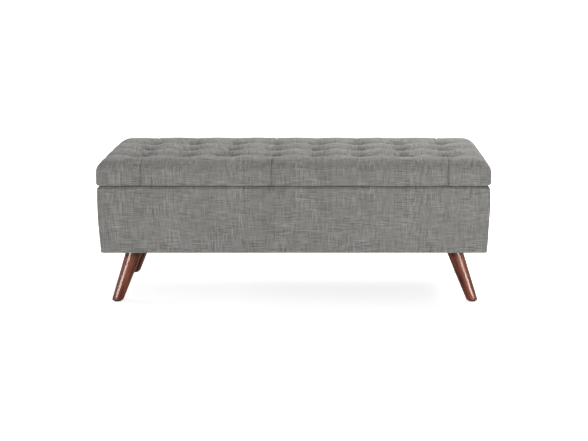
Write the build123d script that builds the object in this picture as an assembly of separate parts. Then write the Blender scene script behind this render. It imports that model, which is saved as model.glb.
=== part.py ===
# Storage bench: an upholstered box on four splayed wooden legs, closed by a tufted seat
# that is hinged along the back and held by a folding stay at each end.
# Frame: +Z up, the front faces -Y, and the origin is on the floor under the middle.
# Left and right are as seen from the front. All sizes are in millimetres.

import os
from math import cos, pi, radians, sqrt, tan

from build123d import *

# Overall sizes
lid_width = 1200
lid_depth = 440
lid_overhang = 7.5
leg_height = 167
box_height = 209
lid_gap = 3.2
seat_rise = 85

# Box: panels, padding, fabric and lining
panel_thickness = 15
bottom_thickness = 12
padding_thickness = 4
fabric_thickness = 1.5
lining_thickness = 1
box_corner_radius = 8
box_edge_radius = 4
corner_block_size = 22
box_hem_width = 13.5
dust_cover_thickness = 1.2
dust_cover_inset = 7

# Legs and what fixes them
leg_foot_inset = 43
leg_side_inset = 48.5
leg_splay = 20.3
leg_foot_radius = 16.5
leg_top_radius = 24.7
glide_radius = 12
glide_thickness = 3
plate_size = 60
plate_thickness = 2.5
plate_corner_radius = 4
plate_screw_spacing = 46
sleeve_radius = 7
sleeve_rise = 9
sleeve_hole_radius = 13
bolt_radius = 4
bolt_depth = 55
bolt_end_gap = 2

# Seat: board, foam, cover and tufts
board_inset = 11
board_thickness = 12
foam_inset = 11
foam_inset_long = 6
foam_thickness = 44
foam_corner_radius = 20
seat_shoulder = 28
seat_shoulder_drop = 3
seat_end_shoulder = 43
seat_curl = 15
seat_corner_radius = 25
seat_hem_width = 30
seat_lining_thickness = 0.8
seat_lining_inset = 17
tuft_columns = 8
tuft_rows = 3
tuft_end_inset = 133.45
tuft_side_inset = 113
tuft_depth = 19
tuft_crown_drop = 6
channel_depth = 8
slices_per_half_pitch = 3
button_radius = 10
button_edge = 3
button_dome = 4
button_sink = 3
tie_radius = 1
toggle_radius = 6
toggle_thickness = 2.2
toggle_sink = 2.5

# Hinges
hinge_end_inset = 170
hinge_length = 60
hinge_knuckles = 5
hinge_leaf_thickness = 1.4
hinge_leaf_reach = 21
hinge_barrel_radius = 3.2
hinge_pin_radius = 1.7
hinge_standoff = 0.5
hinge_screw_spacing = 44
hinge_screw_length = 11

# Folding stays
stay_pivot_back = 62
stay_pivot_drop = 125
stay_lid_reach = 150
stay_lid_drop = 12
stay_bar_width = 16
stay_bar_thickness = 2.5
stay_pivot_radius = 3
stay_head_radius = 5.5
stay_head_thickness = 1.2
stay_bracket_thickness = 2
stay_bracket_width = 28
stay_bracket_height = 60
stay_bracket_top = 18
stay_boss_radius = 7
stay_boss_length = 2.7
stay_flange_width = 30
stay_flange_length = 44
stay_screw_spacing = 16

# Rim bumpers
bumper_radius = 5
bumper_clearance = 0.3
bumper_end_inset = 60
bumper_side_inset = 180

# Screws
screw_radius = 1.5
screw_head_radius = 3
screw_head_height = 1.6
screw_length = 11

# Clearances
running_clearance = 0.05
side_clearance = 0.3
loose_clearance = 0.3
pocket_clearance = 0.5
cut_margin = 20

# Levels and faces that follow from the sizes above
box_width = lid_width - 2 * lid_overhang
box_depth = lid_depth - 2 * lid_overhang
box_low = leg_height
box_high = box_low + box_height
core_low = box_low + fabric_thickness
core_high = box_high - fabric_thickness
floor_high = core_low + bottom_thickness
skin_thickness = fabric_thickness + padding_thickness
core_x = box_width / 2 - skin_thickness
core_y = box_depth / 2 - skin_thickness
cavity_x = core_x - panel_thickness
cavity_y = core_y - panel_thickness
liner_face_x = cavity_x - lining_thickness

lid_low = box_high + lid_gap
cover_low = lid_low + seat_lining_thickness
board_low = cover_low + fabric_thickness
board_high = board_low + board_thickness
foam_high = board_high + foam_thickness
seat_high = cover_low + seat_rise
shoulder_level = seat_high - seat_shoulder_drop
dip_level = seat_high - tuft_depth
pocket_level = dip_level - button_sink
toggle_top = board_low + toggle_sink
tuft_pitch_x = (lid_width - 2 * tuft_end_inset) / (tuft_columns - 1)
tuft_pitch_y = (lid_depth - 2 * tuft_side_inset) / (tuft_rows - 1)

leg_foot_x = lid_width / 2 - leg_foot_inset
leg_y = box_depth / 2 - leg_side_inset
leg_lean = tan(radians(leg_splay))
dust_low = core_low - dust_cover_thickness
plate_low = dust_low - plate_thickness

hinge_x = lid_width / 2 - hinge_end_inset
hinge_y = box_depth / 2 + hinge_barrel_radius + hinge_standoff
hinge_z = box_high + lid_gap / 2
hinge_screw_y = (core_y + cavity_y) / 2

SIDES = {"left": -1, "right": 1}
CORNERS = {
    "front_left": (-1, -1),
    "front_right": (1, -1),
    "back_left": (-1, 1),
    "back_right": (1, 1),
}
HINGES = {"left": -hinge_x, "middle": 0, "right": hinge_x}

nodes = {}


# Shared shapes

def block(x_span, y_span, z_span):
    """A box between two values on each axis."""
    spans = (x_span, y_span, z_span)
    middle = [(low + high) / 2 for low, high in spans]
    return Pos(*middle) * Box(*[high - low for low, high in spans])


def slab(width, depth, low, high, corner_radius):
    """An upright prism with rounded corners in plan."""
    outline = RectangleRounded(width, depth, corner_radius)
    return Pos(0, 0, low) * extrude(outline, high - low)


def upright(x, y, low, high, radius):
    """A vertical cylinder between two levels."""
    return Pos(x, y, (low + high) / 2) * Cylinder(radius, high - low)


def crosswise(x_span, y, z, radius):
    """A cylinder along X."""
    low, high = x_span
    return Pos((low + high) / 2, y, z) * Rot(0, 90, 0) * Cylinder(radius, high - low)


def quarter_arc(centre, start, end):
    """A quarter circle from start to end round a centre, in a sketch plane."""
    cx, cy = centre
    middle = (
        cx + (start[0] + end[0] - 2 * cx) / sqrt(2),
        cy + (start[1] + end[1] - 2 * cy) / sqrt(2),
    )
    return ThreePointArc(start, middle, end)


def mirrored(shape, side):
    """A right-hand piece as it is, or its left-hand twin."""
    return shape if side > 0 else mirror(shape, about=Plane.YZ)


def pan_screw(head_plane, length):
    """A pan-head screw; the plane lies under its head and points out of the wood."""
    head = Pos(0, 0, screw_head_height / 2) * Cylinder(screw_head_radius, screw_head_height)
    shank = Pos(0, 0, -length / 2) * Cylinder(screw_radius, length)
    return head_plane * (head + shank)


def flush_screw(face_plane, length, clearance=0):
    """A countersunk screw whose head is flush with a plane that points out of the wood."""
    cone_height = hinge_leaf_thickness
    head = Pos(0, 0, -cone_height / 2) * Cone(
        screw_radius + clearance, screw_head_radius + clearance, cone_height
    )
    shank = Pos(0, 0, -length / 2) * Cylinder(screw_radius + clearance, length)
    return face_plane * (head + shank)


def screw_bore(head_plane, length):
    """The hole of a screw, as deep as the screw is long."""
    return head_plane * Pos(0, 0, -length / 2) * Cylinder(screw_radius + running_clearance, length)


def bores(planes, length):
    """The holes of a set of screws."""
    return [screw_bore(plane, length) for plane in planes]


def facing(point, direction):
    """A plane at a point, pointing along a direction."""
    return Plane(origin=point, z_dir=direction)


def fused(pieces):
    """Pieces joined into one shape."""
    whole = pieces[0]
    for piece in pieces[1:]:
        whole = whole + piece
    return whole


# Where the screws are: a plane under each head, pointing out of the wood

def plate_screw_planes():
    half = plate_screw_spacing / 2
    planes = []
    for sx, sy in CORNERS.values():
        for dx in (-half, half):
            for dy in (-half, half):
                point = (sx * leg_axis_x(plate_low) + dx, sy * leg_y + dy, plate_low)
                planes.append(facing(point, (0, 0, -1)))
    return planes


def hinge_screw_planes(level, direction):
    half = hinge_screw_spacing / 2
    return [
        facing((x + dx, hinge_screw_y, level), direction)
        for x in HINGES.values()
        for dx in (-half, 0, half)
    ]


def box_hinge_planes():
    return hinge_screw_planes(box_high + hinge_leaf_thickness, (0, 0, 1))


def lid_hinge_planes():
    return hinge_screw_planes(lid_low - hinge_leaf_thickness, (0, 0, -1))


def stay_box_screw_planes():
    face_x = liner_face_x - stay_bracket_thickness
    levels = [stay_a[1] - stay_boss_radius - stay_screw_spacing * n for n in (0.7, 1.7)]
    return [
        facing((side * face_x, stay_a[0], level), (-side, 0, 0))
        for side in SIDES.values()
        for level in levels
    ]


def stay_lid_screw_planes():
    x = flange_span[0] + stay_flange_width / 2 - stay_bracket_thickness
    return [
        facing((side * x, stay_b[0] + dy, flange_low), (0, 0, -1))
        for side in SIDES.values()
        for dy in (-stay_screw_spacing / 2, stay_screw_spacing / 2)
    ]


# Stay geometry: in (Y, Z), the box pivot A, lid pivot B and elbow E make a parallelogram
# with the hinge line, so the lower bar turns with the lid and the upper bar keeps its slope.

hinge_point = (hinge_y, hinge_z)
stay_a = (hinge_y - stay_pivot_back, hinge_z - stay_pivot_drop)
stay_b = (hinge_y - stay_lid_reach, hinge_z - stay_lid_drop)
stay_e = tuple(a + b - o for a, b, o in zip(stay_a, stay_b, hinge_point))

# Stay layers across X on the right-hand side, from the wall inwards
boss_span = (
    liner_face_x - stay_bracket_thickness - stay_boss_length,
    liner_face_x - stay_bracket_thickness,
)
lower_bar_span = (
    boss_span[0] - side_clearance - stay_bar_thickness,
    boss_span[0] - side_clearance,
)
upper_bar_span = (
    lower_bar_span[0] - side_clearance - stay_bar_thickness,
    lower_bar_span[0] - side_clearance,
)
collar_span = (
    upper_bar_span[0] - side_clearance - stay_boss_length,
    upper_bar_span[0] - side_clearance,
)
tab_span = (collar_span[0] - stay_bracket_thickness, collar_span[0])
flange_span = (tab_span[1] - stay_flange_width, tab_span[1])
flange_high = board_low - seat_lining_thickness
flange_low = flange_high - stay_bracket_thickness


# Legs

def leg_axis_x(level):
    """Distance of a leg's axis from the middle of the bench at a level."""
    return leg_foot_x - leg_lean * level


def leg_rod(sx, sy, low, high, low_radius, high_radius):
    """A round bar or cone along a leg's axis, between two levels, with square ends."""
    start = Vector(sx * leg_axis_x(low), sy * leg_y, low)
    end = Vector(sx * leg_axis_x(high), sy * leg_y, high)
    along = end - start
    middle = facing((start + end) * 0.5, along)
    if low_radius == high_radius:
        return middle * Cylinder(low_radius, along.length)
    return middle * Cone(low_radius, high_radius, along.length)


def level_slab(low, high):
    """A wide slab between two levels, to cut things off flat."""
    return block((-lid_width, lid_width), (-lid_depth, lid_depth), (low, high))


def bolt(sx, sy):
    return leg_rod(sx, sy, plate_low - bolt_depth, floor_high - bolt_end_gap, bolt_radius, bolt_radius)


def make_legs():
    taper = (leg_top_radius - leg_foot_radius) / leg_height
    low = -cut_margin
    high = leg_height + cut_margin
    for name, (sx, sy) in CORNERS.items():
        cone = leg_rod(
            sx, sy, low, high,
            leg_foot_radius + taper * low,
            leg_foot_radius + taper * high,
        )
        nodes["leg_" + name] = (cone & level_slab(glide_thickness, plate_low)) - bolt(sx, sy)
        foot_x = sx * leg_axis_x(glide_thickness)
        nodes["foot_glide_" + name] = upright(foot_x, sy * leg_y, 0, glide_thickness, glide_radius)


def make_leg_plates():
    screws = plate_screw_planes()
    sleeve_high = core_low + sleeve_rise
    for name, (sx, sy) in CORNERS.items():
        plate = slab(plate_size, plate_size, plate_low, dust_low, plate_corner_radius)
        plate = Pos(sx * leg_axis_x(plate_low), sy * leg_y, 0) * plate
        sleeve = leg_rod(sx, sy, plate_low - cut_margin, sleeve_high, sleeve_radius, sleeve_radius)
        sleeve = sleeve & level_slab(plate_low, floor_high)
        nodes["leg_plate_" + name] = plate + sleeve - bolt(sx, sy) - bores(screws, screw_length)
    nodes["leg_bolts"] = [bolt(sx, sy) for sx, sy in CORNERS.values()]
    nodes["leg_plate_screws"] = [pan_screw(plane, screw_length) for plane in screws]


# Box

def cavity_outline(inset):
    """Plan of the storage space between the panels, notched round the corner blocks."""
    half_x = cavity_x - inset
    half_y = cavity_y - inset
    outline = Rectangle(2 * half_x, 2 * half_y)
    half_block = corner_block_size / 2
    for sx, sy in CORNERS.values():
        notch = Rectangle(corner_block_size, corner_block_size)
        outline = outline - Pos(sx * (half_x - half_block), sy * (half_y - half_block)) * notch
    return outline


def prism(outline, low, high):
    return Pos(0, 0, low) * extrude(outline, high - low)


def box_form(inset):
    """The outer form of the box, with its edges rounded, shrunk by an inset."""
    body = slab(
        box_width - 2 * inset,
        box_depth - 2 * inset,
        box_low + inset,
        box_high - inset,
        box_corner_radius - inset,
    )
    by_height = body.faces().sort_by(Axis.Z)
    rims = by_height[0].edges() + by_height[-1].edges()
    return fillet(rims, box_edge_radius - inset)


def make_box_panels():
    hinge_holes = bores(box_hinge_planes(), hinge_screw_length)
    stay_holes = bores(stay_box_screw_planes(), screw_length)
    plate_holes = bores(plate_screw_planes(), screw_length)
    walls = (floor_high, core_high)
    nodes["front_panel"] = block((-core_x, core_x), (-core_y, -cavity_y), walls)
    nodes["back_panel"] = block((-core_x, core_x), (cavity_y, core_y), walls) - hinge_holes
    nodes["left_panel"] = block((-core_x, -cavity_x), (-cavity_y, cavity_y), walls) - stay_holes
    nodes["right_panel"] = block((cavity_x, core_x), (-cavity_y, cavity_y), walls) - stay_holes
    bottom = block((-core_x, core_x), (-core_y, core_y), (core_low, floor_high))
    nodes["bottom_panel"] = bottom - sleeve_holes() - plate_holes
    for name, (sx, sy) in CORNERS.items():
        x_span = sorted((sx * cavity_x, sx * (cavity_x - corner_block_size)))
        y_span = sorted((sy * cavity_y, sy * (cavity_y - corner_block_size)))
        nodes["corner_block_" + name] = block(x_span, y_span, walls)


def sleeve_holes():
    """Round holes under the box that the sleeves of the leg plates stand in."""
    x = leg_axis_x((core_low + floor_high) / 2)
    return [
        upright(sx * x, sy * leg_y, dust_low - cut_margin, floor_high, sleeve_hole_radius)
        for sx, sy in CORNERS.values()
    ]


def make_box_padding():
    core = block((-core_x, core_x), (-core_y, core_y), (core_low, core_high))
    ring = box_form(fabric_thickness) - core
    far = lid_width
    heights = (box_low, box_high)
    nodes["front_padding"] = ring & block((-far, far), (-far, -core_y), heights)
    nodes["back_padding"] = ring & block((-far, far), (core_y, far), heights)
    nodes["left_padding"] = ring & block((-far, -core_x), (-core_y, core_y), heights)
    nodes["right_padding"] = ring & block((core_x, far), (-core_y, core_y), heights)


def make_box_fabric():
    hinge_holes = bores(box_hinge_planes(), hinge_screw_length)
    mouth = prism(cavity_outline(0), floor_high, box_high + cut_margin)
    under = slab(
        box_width - 2 * box_hem_width,
        box_depth - 2 * box_hem_width,
        box_low - cut_margin,
        floor_high,
        box_corner_radius,
    )
    nodes["base_cover"] = box_form(0) - box_form(fabric_thickness) - mouth - under - hinge_holes
    stay_holes = bores(stay_box_screw_planes(), screw_length)
    tub = prism(cavity_outline(0), floor_high, core_high)
    inside = prism(cavity_outline(lining_thickness), floor_high + lining_thickness, box_high)
    nodes["box_lining"] = tub - inside - stay_holes
    plate_holes = bores(plate_screw_planes(), screw_length)
    cover = lapped_sheet(
        (box_width, box_depth), box_hem_width, dust_cover_inset,
        (box_low, core_low), dust_cover_thickness, box_corner_radius,
    )
    nodes["dust_cover"] = cover - sleeve_holes() - plate_holes


def lapped_sheet(outer, hem_width, inset, hem_levels, thickness, corner_radius):
    """A thin sheet under a panel that steps down to lap over the hem of the cover."""
    width, depth = outer
    hem_low, hem_high = hem_levels
    opening = (width - 2 * hem_width, depth - 2 * hem_width)
    lap = slab(width - 2 * inset, depth - 2 * inset, hem_low - thickness, hem_low, corner_radius)
    step = slab(*opening, hem_low - thickness, hem_high, corner_radius)
    pocket = slab(
        opening[0] - 2 * thickness,
        opening[1] - 2 * thickness,
        hem_low - cut_margin,
        hem_high - thickness,
        corner_radius - thickness,
    )
    return lap + step - pocket


def make_bumpers():
    low = box_high
    high = lid_low - bumper_clearance
    front_y = -(core_y + cavity_y) / 2
    side_x = (core_x + cavity_x) / 2
    front_x = lid_width / 2 - bumper_end_inset
    side_y = bumper_side_inset - lid_depth / 2
    places = [(side * front_x, front_y) for side in SIDES.values()]
    places += [(side * side_x, side_y) for side in SIDES.values()]
    nodes["rim_bumpers"] = [upright(x, y, low, high, bumper_radius) for x, y in places]


# Seat

def tuft_rows_y():
    return [(row - (tuft_rows - 1) / 2) * tuft_pitch_y for row in range(tuft_rows)]


def tuft_columns_x():
    return [(column - (tuft_columns - 1) / 2) * tuft_pitch_x for column in range(tuft_columns)]


def tuft_points():
    return [(x, y) for x in tuft_columns_x() for y in tuft_rows_y()]


def rounded_profile(plane, half, shoulder_radius, shoulder_level, reach):
    """The seat seen along one axis: curled under, rounded over, and open above its shoulders."""
    inner = half - shoulder_radius
    spring = shoulder_level - shoulder_radius
    curl_level = cover_low + seat_curl
    flat = half - seat_curl
    top = seat_high + cut_margin
    edges = [
        Line((-flat, cover_low), (flat, cover_low)),
        quarter_arc((flat, curl_level), (flat, cover_low), (half, curl_level)),
        Line((half, curl_level), (half, spring)),
        quarter_arc((inner, spring), (half, spring), (inner, shoulder_level)),
        Line((inner, shoulder_level), (inner, top)),
        Line((inner, top), (-inner, top)),
        Line((-inner, top), (-inner, shoulder_level)),
        quarter_arc((-inner, spring), (-inner, shoulder_level), (-half, spring)),
        Line((-half, spring), (-half, curl_level)),
        quarter_arc((-flat, curl_level), (-half, curl_level), (-flat, cover_low)),
    ]
    return extrude(plane * Face(Wire(edges)), reach, both=True)


def pillow_section(x, crown, dip):
    """A slice of the space over the seat: four pillows between three dips bound it below."""
    inner = lid_depth / 2 - seat_shoulder
    top = seat_high + cut_margin
    dips = [(y, dip) for y in reversed(tuft_rows_y())]
    stops = [(inner, shoulder_level)] + dips + [(-inner, shoulder_level)]
    edges = [Line((inner, top), (inner, shoulder_level))]
    for start, end in zip(stops, stops[1:]):
        edges.append(ThreePointArc(start, ((start[0] + end[0]) / 2, crown), end))
    edges.append(Line((-inner, shoulder_level), (-inner, top)))
    edges.append(Line((-inner, top), (inner, top)))
    return Plane.YZ.offset(x) * Face(Wire(edges))


def space_over_seat():
    """What is cut from above: deep dips at the tufts, shallow channels between them."""
    columns = tuft_columns_x()
    half_pitch = tuft_pitch_x / 2
    far = columns[-1] + half_pitch
    steps = 2 * tuft_columns * slices_per_half_pitch
    stations = [-far + 2 * far * n / steps for n in range(steps + 1)]
    end = max(lid_width / 2, far) + cut_margin
    sections = []
    for x in [-end] + stations + [end]:
        away = min(abs(x - column) for column in columns) / half_pitch
        pull = (1 + cos(pi * min(away, 1))) / 2
        crown = seat_high - tuft_crown_drop * pull
        dip = seat_high - channel_depth - (tuft_depth - channel_depth) * pull
        sections.append(pillow_section(x, crown, dip))
    return loft(sections, ruled=True)


def seat_body():
    """The seat's outer form before its top is tufted."""
    across = rounded_profile(Plane.YZ, lid_depth / 2, seat_shoulder, shoulder_level, lid_width)
    along = rounded_profile(Plane.XZ, lid_width / 2, seat_end_shoulder, seat_high, lid_depth)
    plan = slab(lid_width, lid_depth, cover_low, seat_high + cut_margin, seat_corner_radius)
    return across & along & plan


def foam_block():
    return slab(
        lid_width - 2 * foam_inset,
        lid_depth - 2 * foam_inset_long,
        board_high,
        foam_high,
        foam_corner_radius,
    )


def board_block():
    return slab(
        lid_width - 2 * board_inset,
        lid_depth - 2 * board_inset,
        board_low,
        board_high,
        seat_corner_radius - board_inset,
    )


def tie_holes():
    radius = tie_radius + loose_clearance
    return [upright(x, y, board_low, dip_level, radius) for x, y in tuft_points()]


def make_seat():
    hinge_holes = bores(lid_hinge_planes(), hinge_screw_length)
    stay_holes = bores(stay_lid_screw_planes(), screw_length)
    ties = tie_holes()
    sinks = [
        upright(x, y, board_low, toggle_top, toggle_radius + pocket_clearance)
        for x, y in tuft_points()
    ]
    pockets = [
        upright(x, y, pocket_level, seat_high + cut_margin, button_radius + pocket_clearance)
        for x, y in tuft_points()
    ]
    opening = slab(
        lid_width - 2 * seat_hem_width,
        lid_depth - 2 * seat_hem_width,
        cover_low - cut_margin,
        board_low,
        seat_corner_radius,
    )
    nodes["lid_board"] = board_block() - ties - sinks - hinge_holes - stay_holes
    nodes["seat_foam"] = foam_block() - ties
    hollow = board_block() + foam_block() + opening + ties + hinge_holes
    nodes["seat_cover"] = seat_body() - hollow - space_over_seat() - pockets
    lining = lapped_sheet(
        (lid_width, lid_depth), seat_hem_width, seat_lining_inset,
        (cover_low, board_low), seat_lining_thickness, seat_corner_radius,
    )
    nodes["lid_lining"] = lining - hinge_holes - stay_holes


def tuft_button(x, y):
    """A covered button: a disc with a low dome."""
    edge_level = pocket_level + button_edge
    dome_radius = (button_radius**2 + button_dome**2) / (2 * button_dome)
    ball = Pos(x, y, edge_level + button_dome - dome_radius) * Sphere(dome_radius)
    dome = ball & upright(x, y, edge_level, edge_level + button_dome, button_radius)
    return upright(x, y, pocket_level, edge_level, button_radius) + dome


def tuft_tie(x, y):
    """The twine that draws a button down, with its toggle let into the board."""
    toggle = upright(x, y, toggle_top - toggle_thickness, toggle_top, toggle_radius)
    return toggle + upright(x, y, toggle_top, pocket_level, tie_radius)


def make_tufts():
    nodes["tuft_buttons"] = [tuft_button(x, y) for x, y in tuft_points()]
    nodes["tuft_ties"] = [tuft_tie(x, y) for x, y in tuft_points()]


# Hinges

def knuckle_spans(x):
    """The stretches of a hinge's barrel along X, from left to right."""
    pitch = hinge_length / hinge_knuckles
    start = x - hinge_length / 2
    return [(start + n * pitch, start + (n + 1) * pitch) for n in range(hinge_knuckles)]


def hinge_leaf(x, levels, own_first, bore_radius):
    """A flat leaf with every second knuckle of the barrel, cleared round the others."""
    half = hinge_length / 2
    leaf = block((x - half, x + half), (hinge_y - hinge_leaf_reach, hinge_y), levels)
    clear_radius = hinge_barrel_radius + side_clearance
    shrink = side_clearance / 2
    knuckles = []
    cutters = []
    for n, (low, high) in enumerate(knuckle_spans(x)):
        if n % 2 == own_first:
            knuckles.append(crosswise((low + shrink, high - shrink), hinge_y, hinge_z, hinge_barrel_radius))
        else:
            cutters.append(crosswise((low - shrink, high + shrink), hinge_y, hinge_z, clear_radius))
    bore = crosswise((x - hinge_length, x + hinge_length), hinge_y, hinge_z, bore_radius)
    return fused([leaf] + knuckles) - cutters - bore


def make_hinges():
    box_planes = box_hinge_planes()
    lid_planes = lid_hinge_planes()
    box_holes = [flush_screw(p, hinge_screw_length, running_clearance) for p in box_planes]
    lid_holes = [flush_screw(p, hinge_screw_length, running_clearance) for p in lid_planes]
    for name, x in HINGES.items():
        box_levels = (box_high, box_high + hinge_leaf_thickness)
        lid_levels = (lid_low - hinge_leaf_thickness, lid_low)
        box_leaf = hinge_leaf(x, box_levels, 0, hinge_pin_radius)
        lid_leaf = hinge_leaf(x, lid_levels, 1, hinge_pin_radius + running_clearance)
        nodes["hinge_box_leaf_" + name] = box_leaf - box_holes
        nodes["hinge_lid_leaf_" + name] = lid_leaf - lid_holes
    half = hinge_length / 2
    nodes["hinge_pins"] = [
        crosswise((x - half, x + half), hinge_y, hinge_z, hinge_pin_radius) for x in HINGES.values()
    ]
    nodes["hinge_box_screws"] = [flush_screw(p, hinge_screw_length) for p in box_planes]
    nodes["hinge_lid_screws"] = [flush_screw(p, hinge_screw_length) for p in lid_planes]


# Folding stays, modelled on the right and mirrored to the left

def stay_bar(start, end, x_span):
    """A flat bar with round ends between two pivots."""
    along = (Vector(0, *end) - Vector(0, *start))
    middle = (Vector(x_span[0], *start) + Vector(x_span[0], *end)) * 0.5
    plane = Plane(origin=middle, x_dir=along, z_dir=(1, 0, 0))
    outline = SlotCenterToCenter(along.length, stay_bar_width)
    return extrude(plane * outline, x_span[1] - x_span[0])


def pivot_hole(point, clearance):
    return crosswise((0, lid_width), *point, stay_pivot_radius + clearance)


def box_bracket():
    """The plate on the end wall, with the pivot that carries the lower bar."""
    y, z = stay_a
    half = stay_bracket_width / 2
    high = z + stay_bracket_top
    plate = block((boss_span[1], liner_face_x), (y - half, y + half), (high - stay_bracket_height, high))
    boss = crosswise(boss_span, y, z, stay_boss_radius)
    head_high = lower_bar_span[0] - side_clearance
    head = crosswise((head_high - stay_head_thickness, head_high), y, z, stay_head_radius)
    pivot = crosswise((head_high, boss_span[0]), y, z, stay_pivot_radius)
    return fused([plate, boss, pivot, head])


def lid_bracket():
    """The angle under the seat, with the pivot that the upper bar swings on."""
    y, z = stay_b
    half = stay_flange_length / 2
    flange = block(flange_span, (y - half, y + half), (flange_low, flange_high))
    tab_half = stay_bar_width / 2
    tab = block(tab_span, (y - tab_half, y + tab_half), (z - tab_half, flange_high))
    collar = crosswise(collar_span, y, z, stay_head_radius)
    head_low = upper_bar_span[1] + side_clearance
    head = crosswise((head_low, head_low + stay_head_thickness), y, z, stay_head_radius)
    pivot = crosswise((collar_span[1], head_low), y, z, stay_pivot_radius)
    return fused([flange, tab, collar, pivot, head])


def elbow_rivet():
    """The rivet that joins the two bars; it is set in the lower bar."""
    head_high = upper_bar_span[0] - side_clearance
    shank = crosswise((head_high, lower_bar_span[1]), *stay_e, stay_pivot_radius)
    inner = crosswise((head_high - stay_head_thickness, head_high), *stay_e, stay_head_radius)
    outer = crosswise(
        (lower_bar_span[1], lower_bar_span[1] + stay_head_thickness), *stay_e, stay_head_radius
    )
    return fused([shank, inner, outer])


def make_stays():
    lower = stay_bar(stay_a, stay_e, lower_bar_span)
    lower = lower - pivot_hole(stay_a, running_clearance) - pivot_hole(stay_e, 0)
    upper = stay_bar(stay_e, stay_b, upper_bar_span)
    upper = upper - pivot_hole(stay_e, running_clearance) - pivot_hole(stay_b, loose_clearance)
    box_planes = stay_box_screw_planes()
    lid_planes = stay_lid_screw_planes()
    box_holes = bores(box_planes, screw_length)
    lid_holes = bores(lid_planes, screw_length)
    for name, side in SIDES.items():
        nodes["stay_box_bracket_" + name] = mirrored(box_bracket(), side) - box_holes
        nodes["stay_lid_bracket_" + name] = mirrored(lid_bracket(), side) - lid_holes
        nodes["stay_lower_bar_" + name] = mirrored(lower, side)
        nodes["stay_upper_bar_" + name] = mirrored(upper, side)
        nodes["stay_rivet_" + name] = mirrored(elbow_rivet(), side)
    nodes["stay_box_screws"] = [pan_screw(plane, screw_length) for plane in box_planes]
    nodes["stay_lid_screws"] = [pan_screw(plane, screw_length) for plane in lid_planes]


# Build and write every piece

make_legs()
make_leg_plates()
make_box_panels()
make_box_padding()
make_box_fabric()
make_bumpers()
make_seat()
make_tufts()
make_hinges()
make_stays()

os.makedirs("parts", exist_ok=True)
for name, shape in nodes.items():
    if isinstance(shape, list):
        shape = Compound(children=[Solid(piece.solid().wrapped) for piece in shape])
    export_step(shape, "parts/" + name + ".step")

print("nodes", len(nodes))
print("hinge line at y, z", hinge_point)
print("stay pivots in y, z: box", stay_a, "elbow", stay_e, "lid", stay_b)
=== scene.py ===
"""Storage bench: the looks of its upholstery, legs, linings and fittings around the solid model."""
import math

import bpy
import numpy as np
from mathutils import Matrix, Vector


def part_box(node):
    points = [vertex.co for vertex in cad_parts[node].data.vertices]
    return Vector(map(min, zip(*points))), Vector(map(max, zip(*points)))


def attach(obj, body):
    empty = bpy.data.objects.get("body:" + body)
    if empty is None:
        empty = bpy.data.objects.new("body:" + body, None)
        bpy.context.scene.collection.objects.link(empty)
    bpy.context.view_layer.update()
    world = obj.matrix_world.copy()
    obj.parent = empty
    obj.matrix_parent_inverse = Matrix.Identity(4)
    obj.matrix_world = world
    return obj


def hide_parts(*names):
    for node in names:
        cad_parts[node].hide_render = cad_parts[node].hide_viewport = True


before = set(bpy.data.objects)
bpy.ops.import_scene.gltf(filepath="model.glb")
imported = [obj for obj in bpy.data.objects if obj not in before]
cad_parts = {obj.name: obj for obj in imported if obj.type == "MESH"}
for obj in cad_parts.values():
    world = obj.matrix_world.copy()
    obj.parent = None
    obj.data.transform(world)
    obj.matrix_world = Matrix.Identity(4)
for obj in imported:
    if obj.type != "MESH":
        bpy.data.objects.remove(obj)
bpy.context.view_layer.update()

scene = bpy.context.scene
scene.view_settings.view_transform = "Standard"
random = np.random.default_rng(7)


def box_of(node):
    """The low and the high corner of a node of the solid model, in metres."""
    return [np.array(corner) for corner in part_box(node)]


# Places in the solid model
seat_low, seat_high = box_of("seat_cover")
box_low, box_high = box_of("base_cover")
cavity_low, cavity_high = box_of("box_lining")
button_low, button_high = box_of("tuft_buttons")
block_low, block_high = box_of("corner_block_front_left")
hinge_leaves = [box_of("hinge_lid_leaf_" + place) for place in ("left", "middle", "right")]

# Sizes of the seat, in metres
seat_half = seat_high[:2]
seat_rise = seat_high[2] - seat_low[2]
seat_top_drop = 0.003
seat_round = {
    "side_low": np.array([0.026, 0.026]), "side_high": np.array([0.045, 0.032]),
    "top": (0.052, 0.034), "bottom": 0.0005,
}
seat_curl = np.array([[0.008, 0.009], [0.004, 0.0045]])
seat_lip = 0.0036
seat_back_lip = 0.0022
seat_back_swell = 0.0042
seat_hem = 0.030
seat_step = 0.0066
front_crown = 0.008
end_crown = 0.002
fabric = 0.0015

# Sizes of the tufts and seams
tuft_columns = 8
tuft_rows = 3
button_radius = 0.010
tuft_x = np.linspace(-1, 1, tuft_columns) * (button_high[0] - button_radius)
tuft_y = np.linspace(-1, 1, tuft_rows) * (button_high[1] - button_radius)
column_pitch = tuft_x[1] - tuft_x[0]
row_pitch = tuft_y[1] - tuft_y[0]
seam_shift = 0.006
seam_columns = [tuft_x[0] + seam_shift, tuft_x[3], tuft_x[7]]
seam_grid = (-0.0045, -0.0015, 0.0015, 0.0045)
seam_depth = 0.0042
seam_width = 0.0017
seam_ridge = 0.009
seam_ridge_width = 0.006
pleat_columns = [tuft_x[1], tuft_x[4], tuft_x[5]]
pleat_depth = 0.0012
pleat_width = 0.004
row_valley = 0.0064
column_fold = 0.0018
inner_fold = 0.0022
tuft_pull = 0.0178
tuft_pull_reach = 0.024
ripple_depth = 0.0011
ripple_ring = 0.022
ripple_width = 0.016
crease_grid = (-0.008, -0.004, 0.0, 0.004, 0.008)
crease_depth = 0.0060
crease_width = 0.0030
crease_ridge = 0.0085
crease_ridge_width = 0.005
crease_start = (0.004, 0.014)
crease_fade = 0.02
crease_reach = (0.040, 0.058)
tuft_field = 0.075
swell_pressure = 4.0
swell_cap = 0.005

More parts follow.
